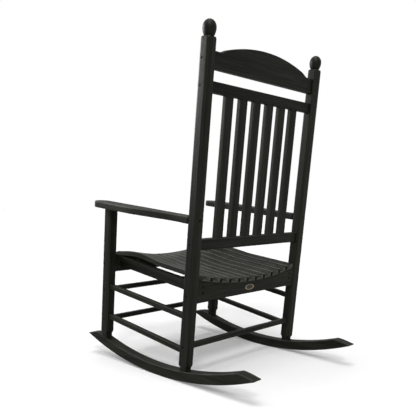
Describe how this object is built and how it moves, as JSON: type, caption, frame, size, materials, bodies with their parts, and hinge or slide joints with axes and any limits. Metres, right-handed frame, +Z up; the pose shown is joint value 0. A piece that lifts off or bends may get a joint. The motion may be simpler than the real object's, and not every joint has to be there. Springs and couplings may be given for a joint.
{
  "type": "rocking chair",
  "caption": "High-backed porch rocking chair of dark poly-lumber bars: slatted back, arched crest, ball finials, dished slat seat, flat armrests and bent rockers.",
  "frame": {"origin": "on the floor, on the middle plane, under the line on which the rockers stand at rest", "axes": "+Z up, the sitter faces -Y, +X is the sitter's left"},
  "size_m": [0.7174, 0.9008, 1.2255],
  "materials": {
    "poly_lumber": "near-black through-coloured board with a fine lengthwise grain and a dull satin sheen",
    "turned_poly": "near-black turned plastic, dull satin, with fine turning rings"
  },
  "bodies": {
    "root": {"armrest_left": "poly_lumber", "armrest_right": "poly_lumber", "back_slat_1": "poly_lumber", "back_slat_2": "poly_lumber", "back_slat_3": "poly_lumber", "back_slat_4": "poly_lumber", "back_slat_5": "poly_lumber", "back_slat_6": "poly_lumber", "crest_rail": "poly_lumber", "finials": "turned_poly", "front_apron": "poly_lumber", "front_post_left": "poly_lumber", "front_post_right": "poly_lumber", "front_rung_lower": "poly_lumber", "front_rung_upper": "poly_lumber", "lower_back_rail": "poly_lumber", "rear_apron": "poly_lumber", "rear_post_left": "poly_lumber", "rear_post_right": "poly_lumber", "rear_rung": "poly_lumber", "rocker_left": "poly_lumber", "rocker_right": "poly_lumber", "seat_brace": "poly_lumber", "seat_slat_01": "poly_lumber", "seat_slat_02": "poly_lumber", "seat_slat_03": "poly_lumber", "seat_slat_04": "poly_lumber", "seat_slat_05": "poly_lumber", "seat_slat_06": "poly_lumber", "seat_slat_07": "poly_lumber", "seat_slat_08": "poly_lumber", "seat_slat_09": "poly_lumber", "seat_slat_10": "poly_lumber", "seat_slat_11": "poly_lumber", "side_apron_left": "poly_lumber", "side_apron_right": "poly_lumber", "side_rung_lower_left": "poly_lumber", "side_rung_lower_right": "poly_lumber", "side_rung_upper_left": "poly_lumber", "side_rung_upper_right": "poly_lumber", "upper_back_rail": "poly_lumber"}
  },
  "joints": []
}
